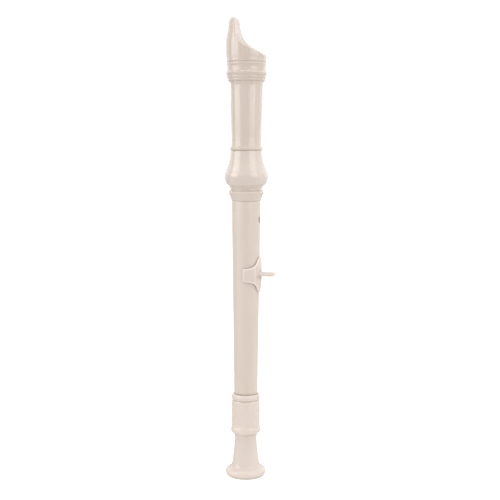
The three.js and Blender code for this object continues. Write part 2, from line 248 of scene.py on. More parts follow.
def fill_chequers(values, inside, cell):
    """Fills the faintest open corner of each chequered grid face.

    Such a face would leave an edge shared by four quads.
    """
    square = ((0, 0), (1, 0), (0, 1), (1, 1))
    size = inside.shape
    for _ in range(10):
        filled = False
        for axis in range(3):
            u, v = [k for k in range(3) if k != axis]
            corners = []
            for i, j in square:
                part = [slice(None)] * 3
                part[u] = slice(i, size[u] - 1 + i)
                part[v] = slice(j, size[v] - 1 + j)
                corners.append(inside[tuple(part)])
            chequered = ((corners[0] == corners[3]) & (corners[1] == corners[2])
                         & (corners[0] != corners[1]))
            for place in np.argwhere(chequered):
                spots = []
                for i, j in square:
                    spot = place.copy()
                    spot[u] += i
                    spot[v] += j
                    spots.append(tuple(spot))
                faintest = min((s for s in spots if not inside[s]),
                               key=lambda s: float(values[s]))
                values[faintest] = -0.004 * cell
                inside[faintest] = True
                filled = True
        if not filled:
            break


def net_vertices(values, inside):
    """One vertex for each cell the surface crosses, in cells, and the grid of their numbers."""
    corners = [(i, j, k) for i in (0, 1) for j in (0, 1) for k in (0, 1)]
    size = np.array(values.shape) - 1
    count = np.zeros(size, np.int8)
    for i, j, k in corners:
        count += inside[i:i + size[0], j:j + size[1], k:k + size[2]]
    cells = np.argwhere((count > 0) & (count < 8))
    index = -np.ones(size, np.int64)
    index[tuple(cells.T)] = np.arange(len(cells))
    total = np.zeros((len(cells), 3))
    crossings = np.zeros(len(cells))
    for start in corners:
        for axis in range(3):
            if start[axis]:
                continue
            end = list(start)
            end[axis] = 1
            value0 = values[tuple((cells + start).T)]
            value1 = values[tuple((cells + end).T)]
            hit = (value0 < 0) != (value1 < 0)
            point = np.tile(np.array(start, float), (len(cells), 1))
            point[:, axis] = np.where(hit, value0 / np.where(hit, value0 - value1, 1), 0)
            total += point * hit[:, None]
            crossings += hit
    return cells + total / crossings[:, None], index


def net_quads(inside, index):
    """One quad round each grid edge that the surface crosses."""
    size = inside.shape
    quads = []
    for axis in range(3):
        others = [k for k in range(3) if k != axis]
        near = [slice(1, size[k] - 1) for k in range(3)]
        far = list(near)
        near[axis] = slice(0, size[axis] - 1)
        far[axis] = slice(1, size[axis])
        first = np.ones(3, int)
        first[axis] = 0
        edges = np.argwhere(inside[tuple(near)] != inside[tuple(far)]) + first
        ring = []
        for back in ((0, 0), (1, 0), (1, 1), (0, 1)):
            cells = edges.copy()
            cells[:, others[0]] -= back[0]
            cells[:, others[1]] -= back[1]
            ring.append(index[tuple(cells.T)])
        quad = np.stack(ring, -1)
        starts_inside = inside[tuple(edges.T)]
        flip = starts_inside if axis != 1 else ~starts_inside
        quads.append(np.where(flip[:, None], quad[:, ::-1], quad))
    return np.concatenate(quads)


def settle(field, verts, cell):
    """Moves vertices along the field's gradient onto the surface."""
    reach = 0.02
    for _ in range(4):
        value = field(*verts.T)
        slope = np.stack([field(*(verts + offset).T) - field(*(verts - offset).T)
                          for offset in np.eye(3) * reach], -1) / (2 * reach)
        steepness = np.maximum((slope ** 2).sum(1), 0.05)
        step = np.clip(value / steepness, -0.5 * cell, 0.5 * cell)
        verts = verts - slope * step[:, None] * 0.9
    return verts


def moulded(node, field, low, high, cell):
    """The closed surface where the field is 0, by surface nets, as the node's piece."""
    low, high = np.array(low, float), np.array(high, float)
    values = sample_grid(field, low, np.ceil((high - low) / cell).astype(int) + 1, cell)
    inside = values < 0
    fill_chequers(values, inside, cell)
    places, index = net_vertices(values, inside)
    verts = settle(field, low + places * cell, cell)
    ob = mesh_of(node + "_piece", verts, net_quads(inside, index))
    face_out(ob)
    return ob


# ---------------------------------------------------------------- materials
class Shader:
    """Builds a node tree from its inputs towards its output."""

    def __init__(self, owner):
        owner.use_nodes = True
        self.tree = owner.node_tree
        self.tree.nodes.clear()

    def node(self, kind, inputs=None, **settings):
        """A node with its settings, and its inputs linked or given a value."""
        node = self.tree.nodes.new("ShaderNode" + kind)
        for key, value in settings.items():
            setattr(node, key, value)
        for key, value in (inputs or {}).items():
            if isinstance(value, bpy.types.NodeSocket):
                self.tree.links.new(value, node.inputs[key])
            else:
                node.inputs[key].default_value = value
        return node

    def math(self, operation, *values, clamp=False):
        inputs = dict(enumerate(values))
        return self.node("Math", inputs, operation=operation, use_clamp=clamp).outputs[0]

    def above(self, value, threshold, gain):
        """What rises above the threshold, times the gain."""
        return self.math("MULTIPLY", self.math("SUBTRACT", value, threshold, clamp=True), gain)

    def mix(self, first, second, factor, mode="MIX"):
        return self.node("Mix", {0: factor, 6: first, 7: second}, data_type="RGBA",
                         blend_type=mode, clamp_factor=True).outputs[2]

    def map_range(self, value, source, target):
        """The value taken from the source range to the target range."""
        return self.node("MapRange", {
            "Value": value, "From Min": source[0], "From Max": source[1],
            "To Min": target[0], "To Max": target[1]})


class PlasticShader(Shader):
    """A shader whose noises are read from shifted object coordinates."""

    def __init__(self, owner, seed):
        super().__init__(owner)
        self.object_place = self.node("TexCoord").outputs["Object"]
        self.place = self.node("Mapping", {
            "Vector": self.object_place, "Location": (seed, seed * 0.37, seed * 1.7)}).outputs[0]

    def noise(self, scale, detail, roughness, stretch=None):
        place = self.place
        if stretch:
            place = self.node("Mapping", {"Vector": place, "Scale": stretch}).outputs[0]
        return self.node("TexNoise", {"Vector": place, "Scale": scale, "Detail": detail,
                                      "Roughness": roughness}).outputs["Fac"]

    def occlusion(self, distance, only_local):
        return self.node("AmbientOcclusion", {"Distance": distance}, samples=8,
                         only_local=only_local).outputs["AO"]


WHITE = (1.0, 1.0, 1.0, 1.0)


def opaque(colour):
    return tuple(colour) + (1.0,)


def pigment(shader, colour):
    """Slow colour drift along the flow of the mould, with fine mottling."""
    tint = 0.018
    low = (*(x * (1 - tint * 1.6) for x in colour[:2]), colour[2] * (1 - tint * 2.4), 1.0)
    high = opaque(min(1, x * (1 + tint)) for x in colour)
    drift = shader.noise(scale=60.0, detail=2.0, roughness=0.45, stretch=(1.0, 1.0, 0.28))
    ramp = shader.node("ValToRGB", {0: drift})
    elements = ramp.color_ramp.elements
    elements[0].position, elements[0].color = 0.30, low
    elements[1].position, elements[1].color = 0.74, high
    elements.new(0.52).color = opaque(colour)
    mottle = shader.noise(scale=2600.0, detail=2.0, roughness=0.6)
    mottled = (colour[0] * 0.93, colour[1] * 0.915, colour[2] * 0.89, 1.0)
    return shader.mix(ramp.outputs[0], mottled, shader.above(mottle, threshold=0.55, gain=0.5))


def shaded(shader, base, crevice_shade, overhang_shade, alone):
    """Painted shade in the crevices, and wider painted shade where one turned form overhangs the
    next.
    """
    crevice = shader.math("POWER", shader.occlusion(distance=0.0007, only_local=False), 1.6)
    base = shader.mix(base, shader.mix(opaque(crevice_shade), WHITE, crevice), 1.0, "MULTIPLY")
    openness = shader.occlusion(distance=0.0035, only_local=alone)
    # the darker half of the openness is all one shade
    openness = shader.math("MAXIMUM", openness, 0.5)
    openness = shader.math("MULTIPLY", shader.math("SUBTRACT", openness, 0.5), 2.0, clamp=True)
    return shader.mix(base, shader.mix(opaque(overhang_shade), WHITE, openness), 1.0, "MULTIPLY")


def paint_crest_highlights(shader, base, colour):
    """A painted highlight on crests and turned edges, in patches."""
    pointiness = shader.node("NewGeometry").outputs["Pointiness"]
    crest = shader.map_range(pointiness, source=(0.515, 0.565), target=(0.0, 1.0)).outputs[0]
    patches = shader.noise(scale=90.0, detail=2.0, roughness=0.5)
    crest_highlight = shader.math("MULTIPLY", crest, patches, clamp=True)
    crest_highlight = shader.math("MULTIPLY", crest_highlight, 1.5, clamp=True)
    return shader.mix(base, opaque(min(1.0, x * 1.32) for x in colour), crest_highlight)


def paint_sole_shade(shader, base, colour):
    """Painted shade, broken by noise, along the lowest edge, which the instrument stands on."""
    height = shader.node("SeparateXYZ", {0: shader.object_place}).outputs[2]
    low = shader.map_range(height, source=(0.0003, 0.0025), target=(1.0, 0.0)).outputs[0]
    patches = shader.math("MULTIPLY", shader.noise(scale=420.0, detail=3.0, roughness=0.6), 0.7)
    low_edge_shade = shader.math("MULTIPLY", low, shader.math("ADD", patches, 0.55), clamp=True)
    sole_shade_colour = (colour[0] * 0.64, colour[1] * 0.61, colour[2] * 0.57, 1.0)
    return shader.mix(base, sole_shade_colour, low_edge_shade)


def gloss_and_skin(shader, roughness, skin):
    """Roughness from haze and hairline scratches, and the normal of the uneven skin."""
    haze = shader.noise(scale=150.0, detail=4.0, roughness=0.6)
    round_tube = shader.noise(scale=420.0, detail=2.0, roughness=0.7, stretch=(1.0, 1.0, 26.0))
    along_tube = shader.noise(scale=900.0, detail=2.0, roughness=0.7, stretch=(6.0, 6.0, 0.5))
    round_tube = shader.above(round_tube, threshold=0.60, gain=1.3 * skin)
    along_tube = shader.above(along_tube, threshold=0.62, gain=1.2 * skin)
    rough = shader.math("ADD", roughness - 0.045, shader.math("MULTIPLY", haze, 0.09))
    rough = shader.math("ADD", rough, round_tube)
    rough = shader.math("ADD", rough, along_tube)

    waves = shader.noise(scale=240.0, detail=2.0, roughness=0.5, stretch=(1.0, 1.0, 0.4))
    grain = shader.noise(scale=3200.0, detail=3.0, roughness=0.6)
    height = shader.math("ADD", shader.math("MULTIPLY", waves, 0.55),
                         shader.math("MULTIPLY", grain, 0.10))
    height = shader.math("SUBTRACT", height, shader.math("MULTIPLY", round_tube, 0.25))
    bump = shader.node("Bump", {"Height": height, "Strength": 0.35 * skin, "Distance": 0.00009})
    return rough, bump.outputs[0]


def plastic(name, colour, roughness, seed, skin=1.0, alone=False, rim=None,
            crevice_shade=(0.975, 0.955, 0.93), overhang_shade=(0.78, 0.75, 0.72), sole_shade=False):
    """Glossy moulded ivory plastic.

    skin scales the scratches and bumps, alone keeps other pieces out of the wide shade,
    the rim colour is a painted highlight laid on by the rim attribute, the crevice and
    overhang colours are painted shade in crevices and under overhangs, and the sole flag
    adds painted shade along the foot's lowest edge.
    """
    material = bpy.data.materials.new(name)
    shader = PlasticShader(material, seed)
    base = pigment(shader, colour)
    base = shaded(shader, base, crevice_shade, overhang_shade, alone)
    base = paint_crest_highlights(shader, base, colour)
    # painted shade along the lowest edge of the foot
    if sole_shade:
        base = paint_sole_shade(shader, base, colour)
    # the rim colour is a painted highlight, laid on where the rim attribute is 1
    if rim:
        at_rim_highlight = shader.node("Attribute", attribute_name="rim").outputs["Fac"]
        base = shader.mix(base, opaque(rim), at_rim_highlight)
    rough, normal = gloss_and_skin(shader, roughness, skin)
    surface = shader.node("BsdfPrincipled", {
        "Base Color": base, "Roughness": rough, "Normal": normal, "Metallic": 0.0, "IOR": 1.5,
        "Specular IOR Level": 0.5, "Subsurface Weight": 0.10,
        "Subsurface Radius": (1.0, 0.72, 0.5), "Subsurface Scale": 0.0012})
    shader.node("OutputMaterial", {0: surface.outputs[0]})
    return material


def srgb(*levels):
    """Linear colour from 0-255 sRGB levels."""
    return tuple((v / 255.0) / 12.92 if v / 255.0 <= 0.04045
                 else ((v / 255.0 + 0.055) / 1.055) ** 2.4 for v in levels)


# node: (body it rides on, sRGB colour, roughness); the colours step lighter from the head down to
# the foot, painted light for the brighter light on the lower pieces
PIECES = {
    "middle_joint": ("middle", (230, 216, 204), 0.31),
    "thumb_rest": ("thumb_rest", (233, 219, 208), 0.14),
    "foot_sleeve": ("foot_barrel", (234, 220, 209), 0.27),
    "foot_ring": ("foot_ends", (233, 219, 208), 0.22),
    "foot_bell": ("foot_ends", (232, 219, 209), 0.12),
    "socket_end_ring": ("head_socket", (230, 216, 204), 0.20),
    "socket_bulb": ("head_socket", (232, 219, 208), 0.16),
    "head_tube": ("head", (227, 213, 201), 0.13),
    "head_collar": ("head", (225, 210, 198), 0.17),
    "beak_shell": ("head", (226, 211, 199), 0.15),
    "windway_block": ("head", (226, 211, 199), 0.28),
}
# painted shade colours, deep and faint: the first pair darkens crevices, the second pair the
# places under overhanging forms
DEEP_CREVICE_SHADE, FAINT_CREVICE_SHADE = (0.84, 0.80, 0.75), (0.985, 0.97, 0.95)
DEEP_OVERHANG_SHADE, FAINT_OVERHANG_SHADE = (0.66, 0.62, 0.58), (0.88, 0.86, 0.84)
# per-piece extras: the rim colour is a painted highlight, the crevice and overhang colours are
# painted shade, and the sole flag paints shade on the foot's lowest edge
FINISH_AND_PAINTED_LIGHT = {
    "thumb_rest": dict(rim=srgb(246, 235, 226)),
    "foot_sleeve": dict(crevice_shade=DEEP_CREVICE_SHADE),
    "foot_bell": dict(crevice_shade=DEEP_CREVICE_SHADE, overhang_shade=DEEP_OVERHANG_SHADE, alone=True, sole_shade=True),
    "socket_bulb": dict(overhang_shade=DEEP_OVERHANG_SHADE),
    "head_collar": dict(crevice_shade=FAINT_CREVICE_SHADE, overhang_shade=FAINT_OVERHANG_SHADE),
    "beak_shell": dict(crevice_shade=FAINT_CREVICE_SHADE, overhang_shade=FAINT_OVERHANG_SHADE, skin=0.5),
    "windway_block": dict(skin=0.5),
}
MATERIALS = {
    node: plastic("ivory_" + node, srgb(*levels), roughness, seed=0.11 * i + 0.013,
                  **FINISH_AND_PAINTED_LIGHT.get(node, {}))
    for i, (node, (_, levels, roughness)) in enumerate(PIECES.items())}


# ---------------------------------------------------------------- pieces
def turned(node, loop, step):
    """The node's piece turned from a closed (radius, height) loop."""
    return mesh_of(node + "_piece", *lathe(even(loop, step)))


def finish_piece(ob, node, sharp_angle=32):
    """Cleans and shades a piece, and puts it in place of its CAD node."""
    tidy(ob)
    ob.data.shade_smooth()
    ob.data.set_sharp_from_angle(angle=rad(sharp_angle))
    ob.data.materials.clear()
    ob.data.materials.append(MATERIALS[node])
    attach(ob, PIECES[node][0])
    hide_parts(node)


def hole_cutter(hole, outside):
    """A tone hole from the bore out through the wall, its rim rounded along the tube's saddle."""
    height, diameter, turn, fillet = hole
    radius = diameter / 2
    # (radius, depth under the tube's surface); no depth marks the ring inside the bore
    rows = [(radius, None), (radius, fillet + 1.4), (radius, fillet)]
    for a in (12, 24, 36, 48, 60, 70, 77):
        rows.append((radius + fillet * (1 - math.cos(rad(a))), fillet * (1 - math.sin(rad(a)))))
    rim = rows[-1][0]
    rows += [(rim + 0.12, -0.05), (rim + 0.35, -0.9)]
    angle = np.arange(HOLE_SEGMENTS) * 2 * math.pi / HOLE_SEGMENTS
    outward = np.array((math.sin(rad(turn)), -math.cos(rad(turn)), 0.0))
    sideways = np.array((math.cos(rad(turn)), math.sin(rad(turn)), 0.0))
    upward = np.array((0, 0, 1.0))
    rings = []
    for row_radius, depth in rows:
        across, along = row_radius * np.cos(angle), row_radius * np.sin(angle)
        if depth is None:
            out = np.full(HOLE_SEGMENTS, 1.0)
        else:
            tube = at(outside, height + along)
            out = np.sqrt(np.maximum(tube ** 2 - across ** 2, 0.01)) - depth
        rings.append(outward * out[:, None] + sideways * across[:, None]
                     + upward * (height + along)[:, None])
    return mesh_of("cutter", *loft(rings))


# Hole tables: (height, diameter, degrees from the front towards the player's left, rim fillet)

# ---------------------------------------------------------------- foot joint
# Profiles are (radius, height), going up the outside unless said otherwise.
BELL = spline([
    (12.2, 0.0), (12.9, 0.26), (13.6, 0.9), (14.14, 1.9), (14.4, 2.9), (14.44, 3.7),
    (14.28, 4.5), (13.87, 5.2), (13.1, 5.9), (12.1, 6.5), (11.14, 7.12), (10.43, 7.96),
    (9.96, 9.15), (9.62, 11.1), (9.3, 13.3), (8.92, 16.0), (8.57, 19.2), (8.2, 22.8),
    (7.93, 25.6), (7.84, 27.5), (7.93, 28.9), (8.15, 30.1), (8.4, 31.0)], 0.3)
# down the inside
BELL_BORE = spline([
    (4.95, 35.6), (4.88, 28), (4.95, 18), (5.4, 9), (6.1, 3), (6.55, 1.2), (7.1, 0.25),
    (7.6, 0.0)], 0.6)
SLEEVE = spline([
    (8.9, 31.7), (9.35, 31.98), (9.95, 32.5), (10.4, 33.15), (10.66, 33.9), (10.75, 34.6),
    (10.7, 35.3), (10.52, 36.1), (10.3, 36.8), (10.16, 37.6), (10.1, 38.8), (10.1, 40.5)], 0.3)
# the part of the sleeve's outside that the holes are cut through
SLEEVE_OUTSIDE = [(10.5, 36.4)] + [p for p in SLEEVE if p[1] > 36.6] + [(10.1, 55.3)]
SLEEVE_HOLES = [(42.6, 3.2, -38.0, 0.32), (42.6, 2.5, -10.5, 0.32)]
FOOT_RING = spline([
    (9.62, 56.72), (9.95, 57.1), (10.1, 57.8), (10.12, 58.8), (10.0, 59.7), (9.72, 60.4),
    (9.3, 60.85)], 0.2)


def make_foot_bell():
    spigot = [(8.45, 31.12), (8.38, 31.2), (7.72, 31.2), (7.6, 31.32), (7.6, 35.35),
              (7.35, 35.6), (5.1, 35.6)]
    loop = BELL[:-1] + spigot + BELL_BORE[1:-1] + [(7.6, 0.0)]
    finish_piece(turned("foot_bell", loop, 1.2), "foot_bell")


def make_foot_sleeve():
    loop = [(8.55, 31.4), (8.74, 31.52)] + SLEEVE[:-1] + [
        (10.1, 40.5), (10.1, 55.25), (10.04, 55.5), (9.86, 55.95), (9.64, 56.35),
        (9.52, 56.52), (9.4, 56.58), (8.75, 56.6), (8.7, 56.65), (8.7, 60.2), (8.5, 60.4),
        # down the inside
        (7.25, 60.4), (7.0, 60.15), (7.0, 46.35), (6.85, 46.2), (5.05, 46.2), (4.95, 46.1),
        (4.95, 36.1), (5.05, 36.0), (7.75, 36.0), (7.9, 35.85), (7.9, 31.55), (8.05, 31.4)]
    sleeve = turned("foot_sleeve", loop, 1.2)
    cut(sleeve, [hole_cutter(hole, SLEEVE_OUTSIDE) for hole in SLEEVE_HOLES])
    finish_piece(sleeve, "foot_sleeve")


def make_foot_ring():
    loop = FOOT_RING + [
        (9.1, 60.98), (8.9, 61.05), (7.3, 61.05), (7.1, 60.95), (7.1, 60.62), (7.2, 60.55),
        (8.9, 60.52), (9.0, 60.42), (9.0, 56.75), (9.05, 56.68), (9.5, 56.67)]
    finish_piece(turned("foot_ring", loop, 0.8), "foot_ring")


# ---------------------------------------------------------------- middle joint
MIDDLE = spline([
    (8.42, 61.9), (8.45, 66), (8.53, 74), (8.77, 87), (8.87, 97), (9.0, 112), (9.34, 133),
    (9.79, 162), (9.99, 176), (10.18, 186), (10.23, 194), (10.2, 200.2)], 1.6)
LOWER_TENON, UPPER_TENON = 6.75, 7.85
# lower half of a tenon's groove: (depth, height below the groove's centre)
LOWER_GROOVE = [(0, 0.8), (0.08, 0.7), (0.36, 0.45), (0.4, 0)]
UPPER_GROOVE = [(0, 0.9), (0.08, 0.8), (0.4, 0.5), (0.45, 0)]
MIDDLE_HOLES = [
    (187.5, 5.3, 180.0, 0.75), (183.0, 5.6, 0.0, 0.45), (164.5, 6.0, 0.0, 0.45),
    (144.5, 5.5, 0.0, 0.45), (119.5, 5.8, 0.0, 0.45), (98.5, 4.6, 0.0, 0.45),
    (73.5, 3.5, -16.5, 0.32), (73.5, 2.9, 14.5, 0.32)]


def groove(radius, centre, section):
    """A groove round a tenon, going up."""
    return ([(radius - depth, centre - half) for depth, half in section]
            + [(radius - depth, centre + half) for depth, half in section[-2::-1]])


def make_middle_joint():
    loop = [(6.35, 46.62), (6.6, 46.75), (LOWER_TENON, 47.1)]
    loop += groove(LOWER_TENON, 50.7, LOWER_GROOVE)
    loop += groove(LOWER_TENON, 56.9, LOWER_GROOVE)
    loop += [(LOWER_TENON, 61.05), (LOWER_TENON + 0.1, 61.18), (8.0, 61.2), (8.25, 61.27),
             (8.38, 61.45)]
    loop += MIDDLE[:-1]
    loop += [(10.2, 200.3), (10.17, 200.64), (10.06, 200.82), (9.8, 200.85), (7.98, 200.85),
             (UPPER_TENON, 200.97)]
    loop += groove(UPPER_TENON, 207.8, UPPER_GROOVE)
    loop += groove(UPPER_TENON, 218.4, UPPER_GROOVE)
    loop += [(UPPER_TENON, 224.4), (7.7, 224.95), (7.4, 225.28), (6.75, 225.3), (6.5, 225.1)]
    # the foot of the bore
    loop += [(4.9, 46.85), (5.05, 46.62)]
    middle = turned("middle_joint", loop, 1.6)
    cut(middle, [hole_cutter(hole, MIDDLE) for hole in MIDDLE_HOLES])
    finish_piece(middle, "middle_joint")


# ---------------------------------------------------------------- head socket
END_RING = spline([
    (10.18, 200.99), (10.47, 201.4), (10.74, 202.5), (11.06, 203.5), (11.5, 204.5),
    (12.0, 205.45), (12.36, 206.25), (12.52, 206.85), (12.44, 207.25), (12.14, 207.65),
    (11.76, 208.02), (11.42, 208.33)], 0.2)
BULB = spline([
    (11.3, 208.54), (11.3, 209.6), (11.36, 210.5), (11.62, 211.15), (12.2, 211.8),
    (13.1, 212.45), (13.85, 213.2), (14.4, 214.3), (14.9, 215.7), (15.22, 217.0),
    (15.35, 218.3), (15.27, 219.5), (14.95, 220.7), (14.42, 221.8), (13.85, 223.3),
    (13.15, 225.1), (12.45, 227.0), (11.85, 229.2), (11.45, 231.5), (11.2, 233.6),
    (11.0, 235.4), (10.86, 236.5)], 0.3)


def make_socket_end_ring():
    loop = [(8.5, 200.95), (8.62, 200.9), (9.85, 200.9)] + END_RING + [
        (11.2, 208.42), (9.8, 208.42), (9.7, 208.32), (9.7, 203.55), (9.65, 203.5),
        (8.3, 203.5), (8.2, 203.42), (8.2, 201.3), (8.32, 201.06)]
    finish_piece(turned("socket_end_ring", loop, 0.8), "socket_end_ring")


def make_socket_bulb():
    loop = [(11.22, 208.47)] + BULB + [
        (10.8, 236.58), (10.7, 236.62), (9.75, 236.62), (9.65, 236.55), (9.65, 208.54),
        (9.72, 208.47)]
    finish_piece(turned("socket_bulb", loop, 1.2), "socket_bulb")


# ---------------------------------------------------------------- head tube and collar
BEAD = spline([
    (10.82, 236.76), (11.12, 237.04), (11.4, 237.45), (11.5, 237.92), (11.44, 238.32),
    (11.23, 238.75), (10.96, 239.25), (10.71, 239.85), (10.5, 240.6), (10.37, 241.7),
    (10.31, 243.0)], 0.2)
HEAD = spline([
    (10.31, 243.0), (10.33, 246.0), (10.5, 250.0), (10.74, 256.0), (10.97, 263.0),
    (11.15, 270.0), (11.28, 276.0), (11.38, 280.5), (11.5, 282.6), (11.72, 283.9),
    (11.95, 284.9)], 0.6)
# two fine reeds turned on the collar's lower cone
COLLAR_LOW = spline([
    (12.2, 285.1), (12.68, 285.36), (12.96, 285.85), (13.1, 286.35), (13.04, 286.72),
    (12.99, 286.88), (13.08, 287.06), (13.36, 287.55), (13.56, 288.15), (13.6, 288.6),
    (13.53, 288.86), (13.51, 288.98), (13.62, 289.2), (13.9, 289.7), (14.12, 290.3),
    (14.22, 290.8)], 0.14)
COLLAR_TOP = spline([
    (13.8, 291.85), (13.57, 292.5), (13.42, 293.4), (13.35, 294.5), (13.42, 295.5),
    (13.6, 296.4), (13.76, 296.95), (13.82, 297.35), (13.74, 297.78), (13.6, 298.14),
    (13.47, 298.46), (13.44, 298.64)], 0.16)
HEAD_BORE = 7.0
COLLAR_BORE = 10.85

# window and labium
WINDOW_TOP, LIP = 285.0, 280.9
WINDOW_HALF = 5.1               # half width of window and windway
LIP_Y, RAMP_SLOPE = -7.35, 0.315
RAMP_FOOT = 262.0
RIM_FILLET = 0.35
# windway floor and roof: y at the window, and y one windway length higher
WINDWAY_LENGTH = 45.0
WINDWAY_FLOOR = (-6.95, -8.95)
WINDWAY_ROOF = (-8.05, -10.3)
ABOVE_HEAD = 331.0              # clear of the beak's tip


def windway_y(line, z):
    start, end = line
    return start + (z - WINDOW_TOP) * (end - start) / WINDWAY_LENGTH


def ramp_cutter():
    """The window and the labium's ramp: a channel with rims rounded into the tube's surface."""
    heights = np.concatenate([np.linspace(RAMP_FOOT, LIP - 0.02, 56), [LIP, LIP + 0.001],
                              np.linspace(LIP + 0.05, WINDOW_TOP, 12)])
    rings = []
    for z in heights:
        tube = float(at(HEAD, z))
        floor = LIP_Y - (LIP - z) * RAMP_SLOPE if z <= LIP else -3.0
        side = []
        for a in (rad(degrees) for degrees in (0, 14, 28, 42, 56, 68, 77)):
            x = WINDOW_HALF + RIM_FILLET * (1 - math.cos(a))
            side.append((x, -(math.sqrt(tube * tube - x * x) - RIM_FILLET * (1 - math.sin(a)))))
        # out clear of the tube
        for step, clearance in ((0.1, 0.06), (0.3, 1.2)):
            x += step
            side.append((x, -(math.sqrt(tube * tube - x * x) + clearance)))
        side.append((x, -18.0))
        # where the ramp has risen past the wall's rim, the channel starts on the ramp itself
        side = [(x, min(y, floor)) for x, y in side]
        ring = [(x, floor) for x in np.linspace(-WINDOW_HALF, WINDOW_HALF, 9)]
        ring += side + [(-x, y) for x, y in reversed(side)]
        rings.append([(x, y, z) for x, y in ring])
    return mesh_of("cutter", *loft(rings))


def prism_cutter(outline):
    """A prism across the window's width from an outline of (y, z)."""
    return mesh_of("cutter", *loft([[(x, y, z) for y, z in outline]
                                    for x in (-WINDOW_HALF, WINDOW_HALF)]))


def make_head_tube():
    loop = [(8.5, 203.6), (9.1, 203.62), (9.4, 203.9), (9.4, 236.6), (9.5, 236.7), (10.7, 236.7)]
    loop += BEAD[:-1] + HEAD[:-1]
    loop += [(11.95, 284.9), (11.93, 284.98), (11.86, 285.02), (10.7, 285.04), (10.6, 285.14),
             (10.6, 302.7), (10.3, 303.0),
             # down the inside
             (7.2, 303.0), (HEAD_BORE, 302.8), (HEAD_BORE, 226.4), (8.1, 225.7), (8.1, 204.0),
             (8.3, 203.65)]
    tube = turned("head_tube", loop, 1.2)
    slot_foot, slot_step = WINDOW_TOP - 0.5, WINDOW_TOP + 0.35
    windway = [
        (0, slot_foot), (windway_y(WINDWAY_ROOF, slot_foot) - 0.25, slot_foot),
        (windway_y(WINDWAY_ROOF, slot_step), slot_step),
        (windway_y(WINDWAY_ROOF, ABOVE_HEAD), ABOVE_HEAD), (0, ABOVE_HEAD)]
    # on the bore side of the labium
    under_ramp = [(0, 264.0), (-6.3, 264.0), (-7.0, 269.5), (-7.0, LIP + 0.1), (0, LIP + 0.1)]
    cut(tube, [prism_cutter(windway), ramp_cutter(), prism_cutter(under_ramp)])
    finish_piece(tube, "head_tube", 30)


def make_head_collar():
    loop = [(12.05, 285.06)] + COLLAR_LOW
    loop += [(14.28, 291.02), (14.29, 291.2), (14.23, 291.38), (14.06, 291.56), (13.92, 291.7)]
    loop += COLLAR_TOP
    loop += [(13.38, 298.67), (13.25, 298.675), (10.95, 298.675), (COLLAR_BORE, 298.57),
             (COLLAR_BORE, 285.16), (10.95, 285.06)]
    finish_piece(turned("head_collar", loop, 0.8), "head_collar")


# ---------------------------------------------------------------- beak and block
BEAK = spline([
    (13.44, 298.68), (13.6, 298.82), (13.75, 299.08), (13.82, 299.5), (13.86, 300.3),
    (13.97, 301.5), (14.15, 303.0), (14.3, 304.7), (14.4, 307.0), (14.44, 309.5),
    (14.4, 312.5), (14.17, 315.0), (13.75, 317.6), (13.3, 320.0), (12.95, 322.4),
    (12.72, 324.2), (12.6, 325.6), (12.46, 326.8), (12.28, 327.9), (12.05, 329.0),
    (11.7, 330.5)], 0.3)
BEAK_FOOT, BEAK_TIP = 298.695, 329.8
# the concave cut behind the beak, as (y, height)
BACK_CUT = spline([
    (21.0, 299.3), (17.2, 301.2), (14.6, 302.75), (13.0, 303.7), (11.2, 304.65), (7.3, 306.75),
    (3.2, 308.95), (0.1, 310.95), (-2.35, 313.0), (-4.25, 315.3), (-5.4, 318.0),
    (-6.05, 320.9), (-6.42, 323.6), (-6.68, 326.0), (-6.95, 327.9), (-7.4, 329.6),
    (-8.1, 331.5), (-9.9, 334.0)], 0.4)
BACK_CUT_DISTANCE = DistanceTable(
    BACK_CUT + [(-9.9, 345.0), (40.0, 345.0), (40.0, 299.3)], (-18.0, 280.0), (18.0, 333.0))
# (edge radius, height) where the back cut meets the beak's sides
BACK_CUT_EDGE = [(0.85, 306.0), (1.3, 314.0), (1.3, 322.0), (1.0, 327.0)]
BLOCK_GAP = 0.03


def beak_solid(x, y, z):
    """The whole beak, shell and block together, so both pieces share every outer face."""
    narrowing = 1 - 0.17 * np.clip((z - 303.0) / 27.0, 0, 1.1) ** 1.5
    taper = (at(BEAK, z + 0.3) - at(BEAK, z - 0.3)) / 0.6
    side = (np.sqrt((x / narrowing) ** 2 + y ** 2) - at(BEAK, z)) / np.sqrt(1 + taper * taper)
    side = side * (0.5 + 0.5 * narrowing)
    crown = 0.045 * np.maximum(np.abs(x) - 4.6, 0) ** 2
    solid = both(side, (z - BEAK_TIP + crown) * 0.97, 2.1)
    return both(solid, -BACK_CUT_DISTANCE(y, z), at(BACK_CUT_EDGE, z))


def beak_shell(x, y, z):
    solid = both(beak_solid(x, y, z), BEAK_FOOT - z, 0.05)
    radius = np.sqrt(x * x + y * y)
    tube_seat = np.maximum(radius - COLLAR_BORE, z - 303.25)
    solid = both(solid, -tube_seat, 0.1)
    solid = both(solid, -(radius - HEAD_BORE), 0.1)
    windway = both(np.abs(x) - WINDOW_HALF, windway_y(WINDWAY_ROOF, z) - y, 0.25)
    windway = both(windway, np.maximum(y, 290.0 - z), 0.0)
    return both(solid, -windway, 0.1)


def windway_block(x, y, z):
    above_floor = windway_y(WINDWAY_FLOOR, z) - y
    plug = both(np.sqrt(x * x + y * y) - (HEAD_BORE - BLOCK_GAP), above_floor, 0.1)
    tongue = both(np.abs(x) - (WINDOW_HALF - BLOCK_GAP), above_floor, 0.08)
    solid = np.minimum(plug, np.maximum(tongue, y))
    solid = both(solid, beak_solid(x, y, z) + 0.01, 0.1)
    chamfer = (285.15 - z + (WINDWAY_FLOOR[0] + 0.55 - y)) * 0.7071
    return both(solid, np.maximum(285.1 - z, chamfer), 0.12)


